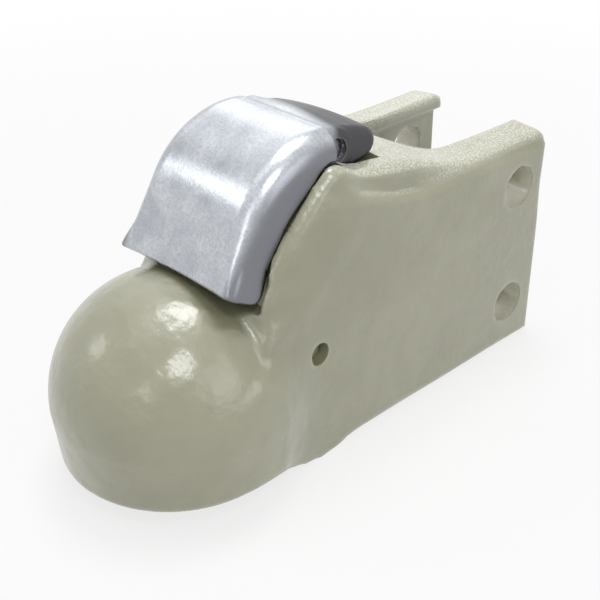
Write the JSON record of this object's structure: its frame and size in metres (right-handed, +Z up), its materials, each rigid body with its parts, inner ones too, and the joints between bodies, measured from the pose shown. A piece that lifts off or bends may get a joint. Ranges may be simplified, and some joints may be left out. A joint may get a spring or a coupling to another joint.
{
  "type": "trailer coupling",
  "caption": "Cast trailer coupling head with a round ball socket, a hinged hood lever over the hump and two bolt ears at the rear.",
  "frame": {"origin": "centre of the ball in the socket", "axes": "+Z up, +Y from the ball towards the trailer, +X across the coupling"},
  "size_m": [0.0859, 0.1997, 0.1168],
  "materials": {
    "primed_iron": "matt primer over sand-cast skin",
    "plated_lever": "satin cast metal",
    "steel": "plain",
    "primed_pin": "matt primer",
    "forged": "dark forged",
    "spring_steel": "oiled"
  },
  "bodies": {
    "base": {"housing": "primed_iron", "lever_pin": "steel", "clamp_pin": "primed_pin"},
    "lever": {"latch_lever": "plated_lever", "lever_spring": "spring_steel"},
    "pawl": {"lock_pawl": "forged", "pawl_spring": "spring_steel"},
    "clamp": {"ball_clamp": "forged", "clamp_spring": "spring_steel"}
  },
  "joints": [
    {"name": "lever_hinge", "type": "hinge", "parent": "base", "child": "lever", "pos_m": [0, 0.055, 0.0771], "axis": [-1, 0, 0], "range_deg": [0, 45], "stiffness_Nm_per_rad": 0.15, "springref_deg": -45.84},
    {"name": "pawl_hinge", "type": "hinge", "parent": "base", "child": "pawl", "pos_m": [0, 0.055, 0.0771], "axis": [-1, 0, 0], "range_deg": [0, 45.5]},
    {"name": "clamp_hinge", "type": "hinge", "parent": "base", "child": "clamp", "pos_m": [0, 0.0345, 0.0143], "axis": [1, 0, 0], "range_deg": [0, 16.5]}
  ],
  "couplings": [
    {"joint": "pawl_hinge", "follows": "lever_hinge", "ratio": 1},
    {"joint": "clamp_hinge", "follows": "lever_hinge", "ratio": 0.355}
  ]
}
